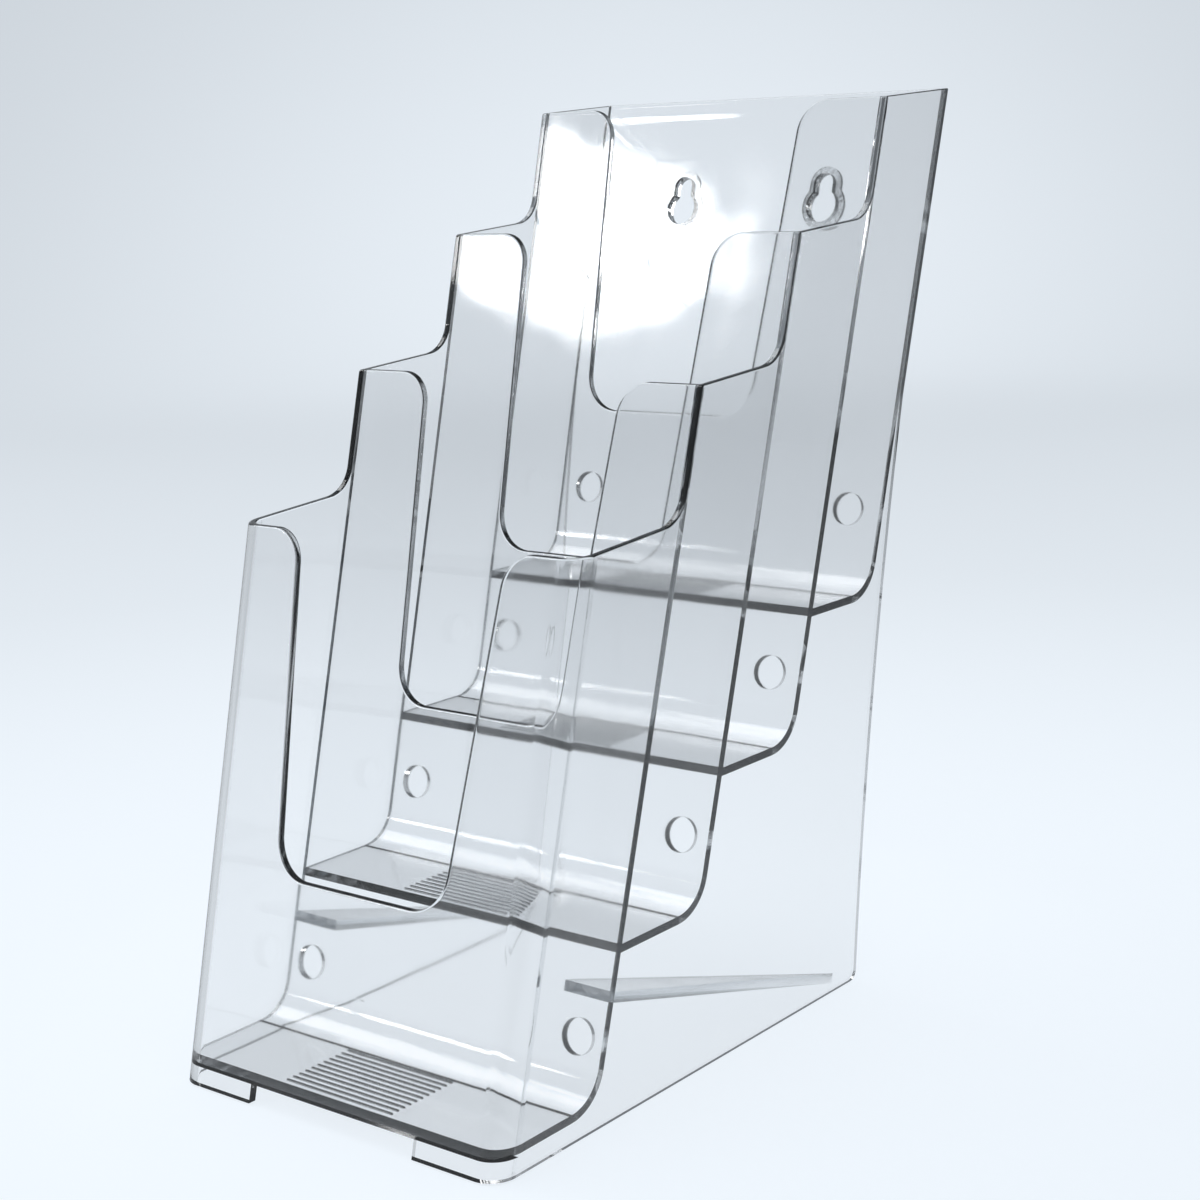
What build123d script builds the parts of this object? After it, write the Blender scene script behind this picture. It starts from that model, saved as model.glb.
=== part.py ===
from build123d import *
import os
from math import atan, cos, degrees, radians, sin, tan

os.makedirs("parts", exist_ok=True)

# Overall form, in mm. X runs across the rack, Y from front to back, Z up from the table.
half_width = 55.6               # outside of a side panel at the front foot
flare_up = 0.017                # how much each side panel spreads, per mm of height
flare_back = 0.005              # and per mm of depth
wall = 2.2                      # thickness of every panel, wall and floor
lean = 15.4                     # back lean of the pocket walls, degrees
rim_slope = 4.5                 # rise of the side rims towards the back, degrees

# Top front corner of each tier, and height of the upper face of its floor
tier_fronts = [(36.0, 144.0), (85.8, 180.2), (130.0, 215.7), (173.0, 250.3)]
floor_tops = [7.1, 44.8, 79.6, 114.2]
top_back = (206.6, 252.6)       # top back corner of the whole rack
rear_break = 168.0              # height where the rear edge leaves the line of the last wall
rear_middle = (171.1, 101.3)    # a point half way down the bowed rear edge
rear_foot = 159.8               # depth of the rack where it meets the table

# Rounding
front_bend = 7.0                # outer radius of the upright front corners
root_bend = 11.0                # inner radius where a floor turns up into its back wall
rim_bend = 10.5                 # hollow corner between a side rim and the next tier
rear_round = 3.0                # bottom corner at the back
edge_round = 1.0                # top corners of the side panels
soft_edge = 0.5                 # rounding along the rims and the cut-outs

# Cut-out in the front of each pocket
cut_depth = 85.0                # measured square to the rims
cut_top_halves = [35.4, 33.6, 33.0, 33.2]
cut_bottom_half = 28.2
cut_bottom_round = 11.0
cut_top_round = 9.0

# Holes in the back walls
hole_radius = 4.75
hole_side = 46.0
hole_heights = [21.4, 61.7, 96.6, 136.0]
key_side = 25.5
key_height = 220.6
key_radius = 5.0                # opening that passes the screw head
key_slot_radius = 3.2           # slot that holds the screw
key_travel = 6.5                # from the opening's centre up to the slot's end
rim_width = 2.0                 # raised rim round each keyhole
rim_stand = 1.0

# Feet, gusset ribs and grip ribs
foot_inner = 28.5
gusset_top = 33.2               # height of a gusset's upper face at the first wall
gusset_slope = 15.6             # fall towards the back, degrees
gusset_width = 15.0
gusset_straight = 2.0           # full width kept before the taper starts
gusset_length = 105.0
gusset_wall = 2.8
grip_pitch = 2.2
grip_width = 0.7
grip_height = 0.3
grip_half = 18.5
grip_margin = 1.6               # from the wall in front to the middle of the first grip rib

# Stock and cutting sizes
reach = 90.0                    # half length of stock that the side planes trim
block_depth = 120.0             # block behind the front face, before it becomes a sheet
block_height = 220.0
over = 10.0                     # how far a cut or a blank runs past what it meets
near = 0.1                      # tolerance for picking a corner
soft_from = 3.3                 # edges of a side panel shorter than this stay sharp
middle_depth = top_back[0] / 2  # the pieces are drawn from the front foot, then centred on this

run = tan(radians(lean))
wall_run = wall / cos(radians(lean))
front_run = tier_fronts[0][0] / tier_fronts[0][1]
front_lean = degrees(atan(front_run))
front_wall_run = wall / cos(radians(front_lean))
skirt = floor_tops[0] - wall    # height where the feet meet the front wall


# Rise of the rims behind the top front corner of a tier
def rim_rise(tier):
    if tier < 3:
        return tan(radians(rim_slope))
    return (top_back[1] - tier_fronts[3][1]) / (top_back[0] - tier_fronts[3][0])


# Front face of back wall 1 to 4, as the depth at a height
def wall_front(number, height):
    if number == 4:
        return top_back[0] - wall_run - (top_back[1] - height) * run
    depth, top = tier_fronts[number]
    return depth - (top - height) * run


# Point where the rim behind a corner meets a leaning line, given that line's depth at the corner
def rim_meets(corner, line_depth, line_run, rise):
    depth = (line_depth - line_run * rise * corner[0]) / (1 - line_run * rise)
    return (depth, corner[1] + rise * (depth - corner[0]))


# Plane of a side panel's outer face, moved inwards by an inset, facing outwards
def side_plane(side, inset=0.0):
    return Plane(
        origin=(side * half_width, 0, 0),
        x_dir=(side * flare_back, 1, 0),
        z_dir=(side, -flare_back, -flare_up),
    ).offset(-inset)


# Plane on the front face of a leaning wall, its origin at a given depth and height
def face_plane(depth, height, angle):
    back = radians(angle)
    return Plane(origin=(0, depth, height), x_dir=(1, 0, 0), z_dir=(0, -cos(back), sin(back)))


# Plane along the rims of a tier, and plane across its corner square to them
def rim_plane(tier):
    return Plane(origin=(0, *tier_fronts[tier]), x_dir=(1, 0, 0), z_dir=(0, -rim_rise(tier), 1))


def cut_plane(tier):
    return Plane(origin=(0, *tier_fronts[tier]), x_dir=(1, 0, 0), z_dir=(0, -1, -rim_rise(tier)))


# Corners of a sketch that lie on given points
def corners_at(sketch, points):
    return [v for v in sketch.vertices()
            if any(abs(v.X - p[0]) < near and abs(v.Y - p[1]) < near for p in points)]


inner_right = side_plane(1, wall)
inner_left = side_plane(-1, wall)

# Side panels: one stepped outline, trimmed to the two faces of the flared panel
notches = [
    rim_meets(tier_fronts[tier], wall_front(tier + 1, tier_fronts[tier][1]), run, rim_rise(tier))
    for tier in (0, 1, 2)
]
bend_top = rim_meets(tier_fronts[0], tier_fronts[0][0] + front_bend, front_run, rim_rise(0))
rear_start = (wall_front(4, rear_break) + wall_run, rear_break)
heel = (rear_foot, 0)

with BuildPart() as right_side_panel:
    with BuildSketch(Plane.YZ) as side_outline:
        with BuildLine():
            Polyline(
                (front_bend, 0), bend_top,
                notches[0], tier_fronts[1],
                notches[1], tier_fronts[2],
                notches[2], tier_fronts[3],
                top_back, rear_start,
            )
            ThreePointArc(rear_start, rear_middle, heel)
            Line(heel, (front_bend, 0))
        make_face()
        fillet(corners_at(side_outline, notches), rim_bend)
        fillet(corners_at(side_outline, tier_fronts[1:]), edge_round)
        fillet(corners_at(side_outline, [heel]), rear_round)
    extrude(amount=reach)
    split(bisect_by=side_plane(1), keep=Keep.BOTTOM)
    split(bisect_by=inner_right, keep=Keep.TOP)
    joint = face_plane(front_bend, 0, front_lean)
    rear = face_plane(top_back[0], top_back[1], lean)
    fillet(
        [e for e in right_side_panel.edges()
         if e.length > soft_from and e.center().Z > wall
         and abs(joint.to_local_coords(e.center()).Z) > near
         and rear.to_local_coords(e.center()).Z > near],
        soft_edge,
    )

with BuildPart() as left_side_panel:
    mirror(right_side_panel.part, about=Plane.YZ)


# Solid block behind the front face, with rounded upright corners, inset from the outside
def front_block(inset, low):
    front = inset / cos(radians(front_lean))
    with BuildPart() as block:
        with BuildSketch(Plane.YZ):
            with BuildLine():
                Polyline(
                    (front + low * front_run, low),
                    (block_depth + low * front_run, low),
                    (block_depth + block_height * front_run, block_height),
                    (front + block_height * front_run, block_height),
                    close=True,
                )
            make_face()
        extrude(amount=reach, both=True)
        split(bisect_by=side_plane(1, inset), keep=Keep.BOTTOM)
        split(bisect_by=side_plane(-1, inset), keep=Keep.BOTTOM)
        uprights = block.edges().filter_by(lambda e: e.length > block_height)
        fillet(uprights.sort_by(Axis.Y)[0:2], front_bend - inset)
    return block.part


front_outer = front_block(0, -over)
front_inner = front_block(wall, -2 * over)

# Stock of the front wall and the feet: a bent sheet from the table up to the first rim
with BuildPart() as front_sheet:
    add(front_outer)
    add(front_inner, mode=Mode.SUBTRACT)
    split(bisect_by=face_plane(front_bend, 0, front_lean), keep=Keep.TOP)
    split(bisect_by=rim_plane(0), keep=Keep.BOTTOM)
    split(bisect_by=Plane.XY, keep=Keep.TOP)


# Cut-out in a pocket's front, seen along the rims: open at the top, with its top corners rounded
def cut_outline(top_half):
    with BuildSketch() as outline:
        with BuildLine():
            Polyline(
                (-cut_bottom_half, -cut_depth), (cut_bottom_half, -cut_depth),
                (top_half, 0), (-top_half, 0),
                close=True,
            )
        make_face()
        with Locations((0, over / 2)):
            Rectangle(2 * (top_half + over), over)
        fillet(outline.vertices().group_by(Axis.Y)[0], cut_bottom_round)
        fillet(corners_at(outline, [(-top_half, 0), (top_half, 0)]), cut_top_round)
    return outline.sketch


cuts = [cut_outline(top_half) for top_half in cut_top_halves]


# The two edges along the bottom of a wall's cut-out; a fillet there runs on round the cut-out and the rims
def cut_bottom_edges(sheet, tier):
    bottom = cut_plane(tier)
    return [e for e in sheet.edges()
            if abs(bottom.to_local_coords(e.center()).Y + cut_depth) < near and e.length > cut_bottom_half]


with BuildPart() as front_wall:
    add(front_sheet.part)
    split(bisect_by=Plane.XY.offset(skirt), keep=Keep.TOP)
    with BuildSketch(cut_plane(0)):
        add(cuts[0])
    extrude(amount=reach, both=True, mode=Mode.SUBTRACT)
    fillet(cut_bottom_edges(front_wall, 0), soft_edge)

feet = {}
for side, name in ((-1, "left_front_foot"), (1, "right_front_foot")):
    with BuildPart() as foot:
        add(front_sheet.part)
        split(bisect_by=Plane.XY.offset(skirt), keep=Keep.BOTTOM)
        split(bisect_by=Plane.YZ.offset(side * foot_inner), keep=Keep.TOP if side > 0 else Keep.BOTTOM)
    feet[name] = foot.part

# Back walls: a leaning wall that turns forward at its root, trimmed between the side panels
root_run = root_bend * tan(radians(90 - lean) / 2)
outer_bend = root_bend + wall
across = cos(radians(lean))
down = sin(radians(lean))
root_depths = []
back_walls = []
for number in (1, 2, 3, 4):
    floor_top = floor_tops[number - 1]
    root_depth = wall_front(number, floor_top) - root_run
    root_depths.append(root_depth)
    rise = rim_rise(min(number, 3))
    if number < 4:
        top_front = tier_fronts[number]
    else:
        top_height = top_back[1] - rise * wall_run
        top_front = (wall_front(4, top_height), top_height)
    top_rear = rim_meets(top_front, top_front[0] + wall_run, run, rise)
    centre = (root_depth, floor_top + root_bend)
    bend_front = (centre[0] + root_bend * across, centre[1] - root_bend * down)
    bend_rear = (centre[0] + outer_bend * across, centre[1] - outer_bend * down)
    hole_height = hole_heights[number - 1]
    with BuildPart() as back_wall:
        with BuildSketch(Plane.YZ):
            with BuildLine():
                Line((root_depth, floor_top - wall), (root_depth, floor_top))
                CenterArc(centre, root_bend, -90, 90 - lean)
                Polyline(bend_front, top_front, top_rear, bend_rear)
                CenterArc(centre, outer_bend, -90, 90 - lean)
            make_face()
        extrude(amount=reach, both=True)
        split(bisect_by=inner_right, keep=Keep.BOTTOM)
        split(bisect_by=inner_left, keep=Keep.BOTTOM)
        if number < 4:
            with BuildSketch(cut_plane(number)):
                add(cuts[number])
            extrude(amount=reach, both=True, mode=Mode.SUBTRACT)
            fillet(cut_bottom_edges(back_wall, number), soft_edge)
        else:
            fillet(
                [e for e in back_wall.edges()
                 if e.length > half_width and abs(rim_plane(3).to_local_coords(e.center()).Z) < near],
                soft_edge,
            )
        with BuildSketch(face_plane(wall_front(number, hole_height), hole_height, lean)):
            with Locations((-hole_side, 0), (hole_side, 0)):
                Circle(hole_radius)
        extrude(amount=over, both=True, mode=Mode.SUBTRACT)
    back_walls.append(back_wall.part)


# Outline of one keyhole, grown by a margin, its opening centred on the origin
def keyhole_outline(margin):
    with BuildSketch() as outline:
        Circle(key_radius + margin)
        with Locations((0, key_travel / 2)):
            Rectangle(2 * (key_slot_radius + margin), key_travel)
        with Locations((0, key_travel)):
            Circle(key_slot_radius + margin)
    return outline.sketch


key_opening = keyhole_outline(0)
key_outline = keyhole_outline(rim_width)
key_plane = face_plane(wall_front(4, key_height), key_height, lean)

with BuildPart() as back_wall_4:
    add(back_walls[3])
    with BuildSketch(key_plane):
        with Locations((-key_side, 0), (key_side, 0)):
            add(key_opening)
    extrude(amount=over, both=True, mode=Mode.SUBTRACT)

key_rims = {}
for side, name in ((-1, "left_keyhole_rim"), (1, "right_keyhole_rim")):
    with BuildPart() as key_rim:
        with BuildSketch(key_plane.offset(-wall)):
            with Locations((side * key_side, 0)):
                add(key_outline)
                add(key_opening, mode=Mode.SUBTRACT)
        extrude(amount=-rim_stand)
    key_rims[name] = key_rim.part

# Pocket floors: flat plates from the wall in front to the root of the wall behind
floors = []
for number in (1, 2, 3, 4):
    top = floor_tops[number - 1]
    low = top - wall
    end = root_depths[number - 1]
    front_low = -over
    front_top = -over
    if number > 1:
        front_low = wall_front(number - 1, low) + wall_run
        front_top = wall_front(number - 1, top) + wall_run
    with BuildPart() as pocket_floor:
        with BuildSketch(Plane.YZ):
            with BuildLine():
                Polyline((front_low, low), (end, low), (end, top), (front_top, top), close=True)
            make_face()
        extrude(amount=reach, both=True)
        split(bisect_by=inner_right, keep=Keep.BOTTOM)
        split(bisect_by=inner_left, keep=Keep.BOTTOM)
        if number == 1:
            add(front_inner, mode=Mode.INTERSECT)
    floors.append(pocket_floor.part)

# Gusset ribs: a tapering web behind the first wall, along each side panel
gusset_start = wall_front(1, gusset_top) + wall_run
gusset_side = half_width - wall + flare_up * gusset_top + flare_back * gusset_start
gusset_plane = Plane(
    origin=(gusset_side, gusset_start, gusset_top),
    x_dir=(1, 0, 0),
    z_dir=(0, sin(radians(gusset_slope)), cos(radians(gusset_slope))),
)
with BuildPart() as right_gusset_rib:
    with BuildSketch(gusset_plane):
        with BuildLine():
            Polyline(
                (-gusset_width, -over), (over, -over),
                (over, gusset_length), (0, gusset_length),
                (-gusset_width, gusset_straight), close=True,
            )
        make_face()
    extrude(amount=-gusset_wall)
    split(bisect_by=inner_right, keep=Keep.BOTTOM)
    split(bisect_by=face_plane(gusset_start, gusset_top, lean), keep=Keep.BOTTOM)

with BuildPart() as left_gusset_rib:
    mirror(right_gusset_rib.part, about=Plane.YZ)

# Grip ribs: fine bars across the middle of each floor
grips = []
for number in (1, 2, 3, 4):
    top = floor_tops[number - 1]
    if number == 1:
        first = top * front_run + front_wall_run + grip_margin
    else:
        first = wall_front(number - 1, top) + wall_run + grip_margin
    count = int((root_depths[number - 1] - first - grip_width / 2) / grip_pitch) + 1
    with BuildPart() as grip_ribs:
        with BuildSketch(Plane.XY.offset(top)):
            for step in range(count):
                with Locations((0, first + step * grip_pitch)):
                    SlotOverall(2 * grip_half, grip_width)
        extrude(amount=grip_height)
    grips.append(grip_ribs.part)

pieces = {
    "left_side_panel": left_side_panel.part,
    "right_side_panel": right_side_panel.part,
    "front_wall": front_wall.part,
    **feet,
    "back_wall_4": back_wall_4.part,
    **key_rims,
    "left_gusset_rib": left_gusset_rib.part,
    "right_gusset_rib": right_gusset_rib.part,
}
for number in (1, 2, 3):
    pieces[f"back_wall_{number}"] = back_walls[number - 1]
for number in (1, 2, 3, 4):
    pieces[f"pocket_floor_{number}"] = floors[number - 1]
    pieces[f"grip_ribs_{number}"] = grips[number - 1]

# The origin is on the table, under the middle of the rack
for name, piece in pieces.items():
    placed = piece.moved(Location((0, -middle_depth, 0)))
    placed.label = name
    export_step(placed, f"parts/{name}.step")
    print(name, round(placed.volume), len(placed.solids()))
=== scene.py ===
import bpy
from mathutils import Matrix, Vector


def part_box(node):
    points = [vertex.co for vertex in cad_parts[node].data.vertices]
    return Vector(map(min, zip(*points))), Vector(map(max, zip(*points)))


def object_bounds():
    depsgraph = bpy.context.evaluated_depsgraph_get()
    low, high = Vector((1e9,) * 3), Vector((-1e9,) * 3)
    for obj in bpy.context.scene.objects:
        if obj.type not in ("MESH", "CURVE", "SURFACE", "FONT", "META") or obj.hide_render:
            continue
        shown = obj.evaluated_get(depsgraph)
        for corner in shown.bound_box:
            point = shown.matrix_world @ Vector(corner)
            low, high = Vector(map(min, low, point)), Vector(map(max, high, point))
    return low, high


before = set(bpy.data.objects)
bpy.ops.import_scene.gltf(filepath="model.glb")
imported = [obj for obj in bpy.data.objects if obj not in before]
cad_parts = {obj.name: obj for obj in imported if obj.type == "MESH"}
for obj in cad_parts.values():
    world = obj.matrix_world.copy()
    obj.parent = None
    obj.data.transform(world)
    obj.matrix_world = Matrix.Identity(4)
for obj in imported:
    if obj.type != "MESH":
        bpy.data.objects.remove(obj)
cadBox = [list(corner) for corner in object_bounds()]

import math

import bmesh
import bpy
from mathutils import Matrix, Vector

cameraPlace = {
    "location": (0.36777, -0.45280, 0.23502),
    "forward": (-0.60678, 0.76960, -0.19882),
    "up": (-0.09772, 0.17600, 0.97953),
    "lens": 64.64,
    "sensor": 36.0,
    "clip": (0.01, 50.0),
}


def makeCamera():
    camera = bpy.data.objects.new("camera", bpy.data.cameras.new("camera"))
    bpy.context.scene.collection.objects.link(camera)
    back = -Vector(cameraPlace["forward"]).normalized()
    right = Vector(cameraPlace["up"]).cross(back).normalized()
    turn = Matrix((right, back.cross(right), back)).transposed()
    camera.matrix_world = Matrix.Translation(cameraPlace["location"]) @ turn.to_4x4()
    camera.data.sensor_width = cameraPlace["sensor"]
    camera.data.lens = cameraPlace["lens"]
    camera.data.clip_start, camera.data.clip_end = cameraPlace["clip"]
    bpy.context.scene.camera = camera


makeCamera()
print("camera placed")


def emptyMaterial(name):
    material = bpy.data.materials.new(name)
    material.use_nodes = True
    material.node_tree.nodes.clear()
    return material, material.node_tree.nodes, material.node_tree.links


# A maths node; its inputs are numbers or other nodes' outputs
def calc(nodes, links, operation, first, second=0.0):
    node = nodes.new("ShaderNodeMath")
    node.operation = operation
    for socket, value in zip(node.inputs, (first, second)):
        if isinstance(value, float):
            socket.default_value = value
        else:
            links.new(value, socket)
    return node.outputs["Value"]


# A number measured from a vector: its length, its distance from a point, or how far it goes along a direction
def measure(nodes, links, operation, vector, other=(0.0, 0.0, 0.0)):
    node = nodes.new("ShaderNodeVectorMath")
    node.operation = operation
    node.inputs[1].default_value = other
    links.new(vector, node.inputs[0])
    return node.outputs["Value"]


# A smooth change from one level to another, while a value goes over a span
def ease(nodes, links, value, span, levels=(0.0, 1.0)):
    node = nodes.new("ShaderNodeMapRange")
    node.interpolation_type = "SMOOTHSTEP"
    node.inputs["From Min"].default_value = span[0]
    node.inputs["From Max"].default_value = span[1]
    node.inputs["To Min"].default_value = levels[0]
    node.inputs["To Max"].default_value = levels[1]
    links.new(value, node.inputs["Value"])
    return node.outputs["Result"]


def noise(nodes, links, place, scale, detail):
    node = nodes.new("ShaderNodeTexNoise")
    node.inputs["Scale"].default_value = scale
    node.inputs["Detail"].default_value = detail
    links.new(place.outputs["Object"], node.inputs["Vector"])
    return node.outputs["Fac"]


plasticLook = {
    "ior": 1.57,
    "roughness": (0.025, 0.075),
    "tint": (0.998, 0.999, 1.0),
    "depthTint": (0.36, 0.42, 0.47),
    "density": 9.0,
    "waveScale": 30.0,
    "waveDetail": 1.0,
    "waveDepth": 0.00024,
    "polishScale": 90.0,
    "polishDetail": 2.0,
    "frontSlope": 0.25,
    "seamReach": 0.00006,
    "seamFlatness": 0.999,
    "seamIor": 1.0005,
    "rollBelow": (0.006, 0.0042),
    "rollSides": (0.004, -0.02),
    "rollDepth": 0.17,
    "rollBehind": 0.085,
}


# Joints inside one flow of plastic, which light passes unbent: the slope of each, and its place at the table.
# They are the joint of the front corners with the side panels, and the end of each floor at its wall's root.
def seamPlanes():
    planes = [(plasticLook["frontSlope"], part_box("right_side_panel")[0].y)]
    for tier in (1, 2, 3, 4):
        planes.append((0.0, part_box(f"pocket_floor_{tier}")[1].y))
    return planes


# A mask that is 1 on the seams and 0 elsewhere
def seamMask(nodes, links, split):
    surface = nodes.new("ShaderNodeNewGeometry")
    masks = []
    for slope, start in seamPlanes():
        square = Vector((0.0, 1.0, -slope)).normalized()
        facing = measure(nodes, links, "DOT_PRODUCT", surface.outputs["True Normal"], square)
        flat = calc(nodes, links, "ABSOLUTE", facing)
        along = calc(nodes, links, "GREATER_THAN", flat, plasticLook["seamFlatness"])
        rise = calc(nodes, links, "MULTIPLY", split.outputs["Z"], slope)
        place = calc(nodes, links, "SUBTRACT", split.outputs["Y"], rise)
        gap = calc(nodes, links, "ABSOLUTE", calc(nodes, links, "SUBTRACT", place, start))
        close = calc(nodes, links, "LESS_THAN", gap, plasticLook["seamReach"])
        masks.append(calc(nodes, links, "MULTIPLY", along, close))
    total = masks[0]
    for mask in masks[1:]:
        total = calc(nodes, links, "MAXIMUM", total, mask)
    return total


# The last wall's face rolls off slightly just below its top, most at the left
def rollOff(nodes, links, split):
    top = cadBox[1][2]
    heights = [top - below for below in plasticLook["rollBelow"]]
    up = ease(nodes, links, split.outputs["Z"], heights)
    left = ease(nodes, links, split.outputs["X"], plasticLook["rollSides"])
    behind = calc(nodes, links, "GREATER_THAN", split.outputs["Y"], plasticLook["rollBehind"])
    bulge = calc(nodes, links, "MULTIPLY", calc(nodes, links, "MULTIPLY", up, left), behind)
    return calc(nodes, links, "MULTIPLY", bulge, plasticLook["rollDepth"])


# Clear moulded plastic: polished faces with faint waves, and a blue-grey tint that grows with depth
def clearPlastic():
    material, nodes, links = emptyMaterial("clearPlastic")
    output = nodes.new("ShaderNodeOutputMaterial")
    shader = nodes.new("ShaderNodeBsdfPrincipled")
    shader.inputs["Base Color"].default_value = (*plasticLook["tint"], 1.0)
    shader.inputs["Transmission Weight"].default_value = 1.0
    place = nodes.new("ShaderNodeTexCoord")
    split = nodes.new("ShaderNodeSeparateXYZ")
    links.new(place.outputs["Object"], split.inputs["Vector"])
    wave = noise(nodes, links, place, plasticLook["waveScale"], plasticLook["waveDetail"])
    bump = nodes.new("ShaderNodeBump")
    bump.inputs["Distance"].default_value = plasticLook["waveDepth"]
    links.new(calc(nodes, links, "ADD", wave, rollOff(nodes, links, split)), bump.inputs["Height"])
    links.new(bump.outputs["Normal"], shader.inputs["Normal"])
    polish = nodes.new("ShaderNodeMapRange")
    polish.inputs["To Min"].default_value, polish.inputs["To Max"].default_value = plasticLook["roughness"]
    fine = noise(nodes, links, place, plasticLook["polishScale"], plasticLook["polishDetail"])
    links.new(fine, polish.inputs["Value"])
    links.new(polish.outputs["Result"], shader.inputs["Roughness"])
    mask = seamMask(nodes, links, split)
    drop = calc(nodes, links, "MULTIPLY", mask, plasticLook["ior"] - plasticLook["seamIor"])
    links.new(calc(nodes, links, "SUBTRACT", plasticLook["ior"], drop), shader.inputs["IOR"])
    links.new(shader.outputs["BSDF"], output.inputs["Surface"])
    depth = nodes.new("ShaderNodeVolumeAbsorption")
    depth.inputs["Color"].default_value = (*plasticLook["depthTint"], 1.0)
    depth.inputs["Density"].default_value = plasticLook["density"]
    links.new(depth.outputs["Volume"], output.inputs["Volume"])
    return material


def dressNodes(material):
    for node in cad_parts.values():
        node.data.materials.clear()
        node.data.materials.append(material)


dressNodes(clearPlastic())
print("plastic on", len(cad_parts), "nodes")

sweepLook = {
    "floorDrop": 0.0005,
    "floorRings": (0.0, 0.6, 1.2, 1.8),
    "curveRadius": 0.9,
    "curveSteps": 12,
    "wallHeight": 2.6,
    "turnSteps": 96,
    "weldReach": 0.0001,
    "albedo": 0.2,
    "roughness": 0.6,
    # Painted shade: the glow's level falls with distance from the middle, bright on the floor and dimmer up
    # the wall
    "ramp": [(0.06, 0.93), (0.22, 0.70), (0.5, 0.64), (1.0, 0.58)],
    "rampReach": 3.0,
    "glow": 1.06,
    # Painted light: a soft bright pool painted into the sweep's glow behind the rack, with how far and how
    # strongly it spreads
    "paintedLightSpot": (-1.36, 1.88, 0.04),
    "paintedSpotReach": (0.1, 1.15),
    "paintedSpotLevels": (1.12, 0.84),
    "hue": (0.925, 0.985, 1.045),
    # Painted reflection: how the glow dims in reflections, upwards and to the right
    "mirrorSlant": (0.35, 0.0, 1.0),
    "mirrorRange": (-0.35, 0.55),
    "mirrorLevels": (0.98, 0.2),
}


# The pale sweep glows softly, which is painted light: bright near the middle of the floor and dimmer up the
# wall, with a painted bright pool behind the rack; in reflections it is painted dimmer upwards and to the
# right, as a room beside a table would look
def sweepMaterial():
    material, nodes, links = emptyMaterial("paleSweep")
    output = nodes.new("ShaderNodeOutputMaterial")
    shader = nodes.new("ShaderNodeBsdfPrincipled")
    tint = [sweepLook["albedo"] * part for part in sweepLook["hue"]]
    shader.inputs["Base Color"].default_value = (*tint, 1.0)
    shader.inputs["Roughness"].default_value = sweepLook["roughness"]
    shader.inputs["Specular IOR Level"].default_value = 0.0
    place = nodes.new("ShaderNodeTexCoord")
    reach = measure(nodes, links, "LENGTH", place.outputs["Object"])
    # Painted light and shade: the glow colour is bright near the middle and dimmer up the wall
    ramp = nodes.new("ShaderNodeValToRGB")
    ramp.color_ramp.interpolation = "B_SPLINE"
    while len(ramp.color_ramp.elements) < len(sweepLook["ramp"]):
        ramp.color_ramp.elements.new(0.5)
    for element, (position, level) in zip(ramp.color_ramp.elements, sweepLook["ramp"]):
        element.position = position
        element.color = (*[level * part for part in sweepLook["hue"]], 1.0)
    links.new(calc(nodes, links, "DIVIDE", reach, sweepLook["rampReach"]), ramp.inputs["Fac"])
    # Painted reflection: after a glossy bounce the glow is dimmed upwards and to the right, standing in for a
    # dim room
    slant = measure(nodes, links, "DOT_PRODUCT", place.outputs["Object"], sweepLook["mirrorSlant"])
    room = ease(nodes, links, slant, sweepLook["mirrorRange"], sweepLook["mirrorLevels"])
    path = nodes.new("ShaderNodeLightPath")
    dim = nodes.new("ShaderNodeMix")
    dim.data_type = "FLOAT"
    dim.inputs["A"].default_value = 1.0
    links.new(path.outputs["Glossy Depth"], dim.inputs["Factor"])
    links.new(room, dim.inputs["B"])
    # Painted light: the glow is raised in a soft pool around a point behind the rack
    away = measure(nodes, links, "DISTANCE", place.outputs["Object"], sweepLook["paintedLightSpot"])
    levels = [sweepLook["glow"] * level for level in sweepLook["paintedSpotLevels"]]
    paintedSpot = ease(nodes, links, away, sweepLook["paintedSpotReach"], levels)
    glow = calc(nodes, links, "MULTIPLY", dim.outputs["Result"], paintedSpot)
    links.new(ramp.outputs["Color"], shader.inputs["Emission Color"])
    links.new(glow, shader.inputs["Emission Strength"])
    links.new(shader.outputs["BSDF"], output.inputs["Surface"])
    return material


# A round floor that curves up into a wall, so that no horizon shows from any side
def makeSweep():
    low = -sweepLook["floorDrop"]
    curve = sweepLook["curveRadius"]
    floorRadius = sweepLook["floorRings"][-1]
    profile = [(ring, low) for ring in sweepLook["floorRings"]]
    for step in range(1, sweepLook["curveSteps"] + 1):
        angle = math.radians(90 * step / sweepLook["curveSteps"])
        profile.append((floorRadius + curve * math.sin(angle), low + curve * (1 - math.cos(angle))))
    profile.append((floorRadius + curve, sweepLook["wallHeight"]))
    mesh = bpy.data.meshes.new("sweep")
    shape = bmesh.new()
    points = [shape.verts.new((across, 0.0, height)) for across, height in profile]
    edges = [shape.edges.new(pair) for pair in zip(points, points[1:])]
    bmesh.ops.spin(
        shape,
        geom=points + edges,
        cent=(0, 0, 0),
        axis=(0, 0, 1),
        angle=math.tau,
        steps=sweepLook["turnSteps"],
    )
    bmesh.ops.remove_doubles(shape, verts=shape.verts, dist=sweepLook["weldReach"])
    bmesh.ops.recalc_face_normals(shape, faces=shape.faces)
    bmesh.ops.reverse_faces(shape, faces=shape.faces)
    for face in shape.faces:
        face.smooth = True
    shape.to_mesh(mesh)
    shape.free()
    mesh.materials.append(sweepMaterial())
    sweep = bpy.data.objects.new("sweep", mesh)
    bpy.context.scene.collection.objects.link(sweep)


makeSweep()
print("sweep laid")

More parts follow.
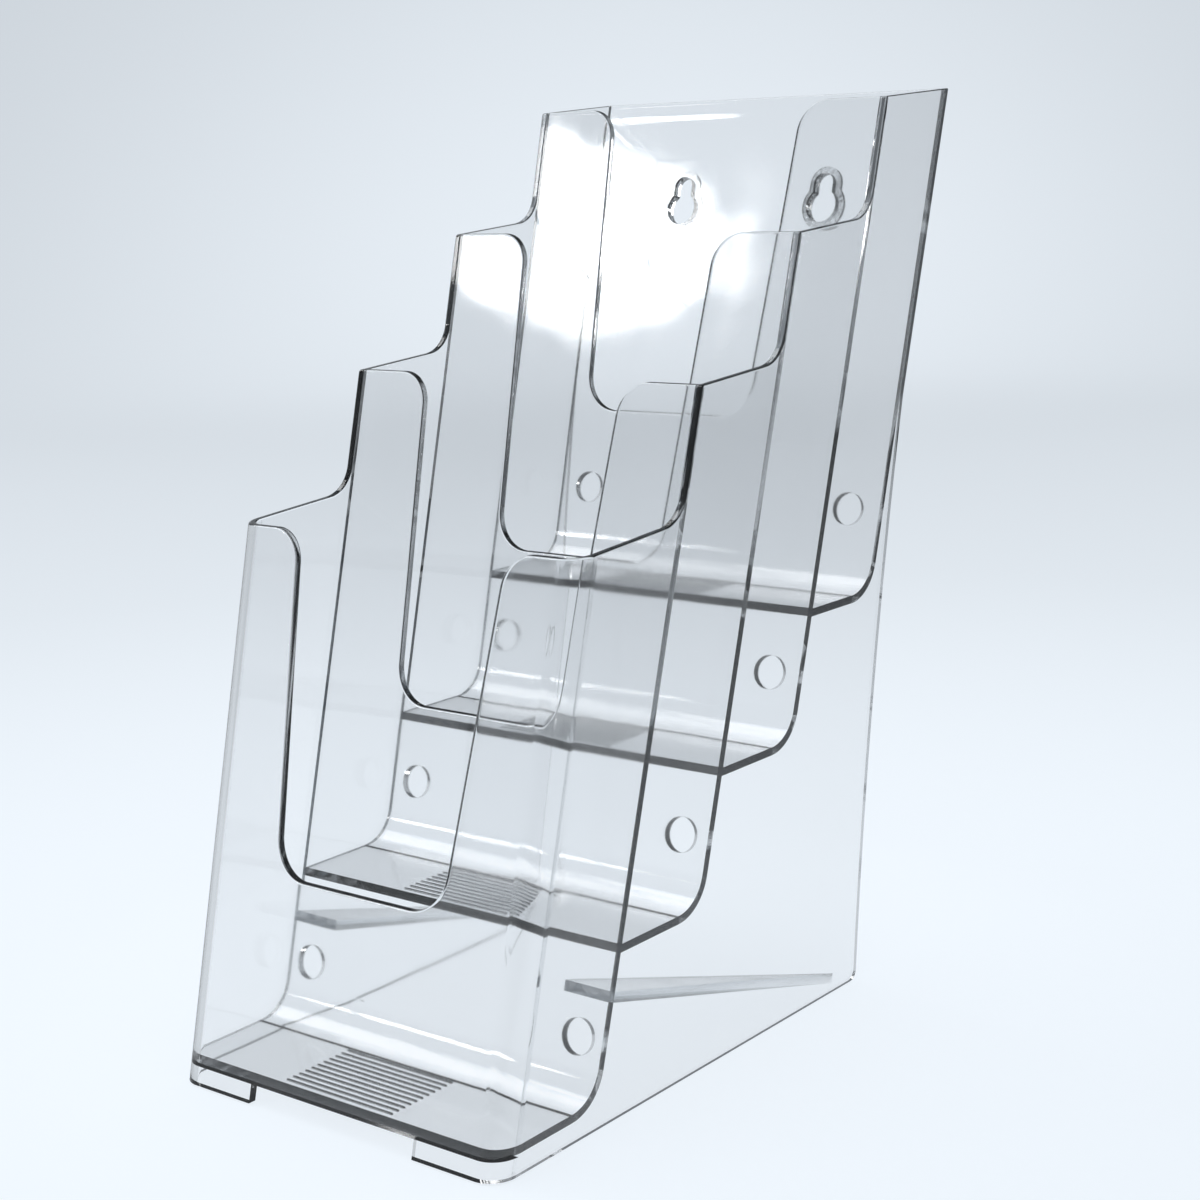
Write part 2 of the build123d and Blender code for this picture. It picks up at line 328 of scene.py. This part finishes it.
lamps = {
    "window": {
        "shape": "ELLIPSE",
        "centre": (-1.36, -1.40, 1.01),
        "size": (0.35, 0.22),
        "power": 2.0,
        "target": (0.0, 0.09, 0.2),
        "turn": 15.0,
    },
    "topBox": {
        "shape": "RECTANGLE",
        "centre": (-1.15, 0.0, 1.5),
        "size": (0.9, 0.9),
        "power": 7.0,
        "target": (0.0, 0.0, 0.1),
        "turn": 0.0,
    },
}
sky = {
    "colour": (0.66, 0.70, 0.74),
    "mirrored": 0.2,
}


def softBox(name, shape, centre, size, power, target, turn):
    light = bpy.data.lights.new(name, "AREA")
    light.shape = shape
    light.size, light.size_y = size
    light.energy = power
    lamp = bpy.data.objects.new(name, light)
    facing = (Vector(target) - Vector(centre)).to_track_quat("-Z", "Y").to_matrix().to_4x4()
    spin = Matrix.Rotation(math.radians(turn), 4, "Z")
    lamp.matrix_world = Matrix.Translation(centre) @ facing @ spin
    bpy.context.scene.collection.objects.link(lamp)


# A soft sky, dimmer in reflections as the sweep is
def makeWorld():
    world = bpy.data.worlds.new("studio")
    bpy.context.scene.world = world
    world.use_nodes = True
    nodes, links = world.node_tree.nodes, world.node_tree.links
    nodes.clear()
    output = nodes.new("ShaderNodeOutputWorld")
    back = nodes.new("ShaderNodeBackground")
    back.inputs["Color"].default_value = (*sky["colour"], 1.0)
    path = nodes.new("ShaderNodeLightPath")
    dim = nodes.new("ShaderNodeMapRange")
    dim.inputs["To Min"].default_value = 1.0
    dim.inputs["To Max"].default_value = sky["mirrored"]
    links.new(path.outputs["Glossy Depth"], dim.inputs["Value"])
    links.new(dim.outputs["Result"], back.inputs["Strength"])
    links.new(back.outputs["Background"], output.inputs["Surface"])


makeWorld()
for lampName, lampValues in lamps.items():
    softBox(lampName, **lampValues)
print("lights set")

scene = bpy.context.scene
scene.cycles.max_bounces = 32
scene.cycles.transmission_bounces = 28
scene.cycles.glossy_bounces = 12
scene.cycles.transparent_max_bounces = 24
scene.cycles.diffuse_bounces = 3
scene.cycles.caustics_refractive = True
scene.cycles.caustics_reflective = False
scene.view_settings.view_transform = "Standard"
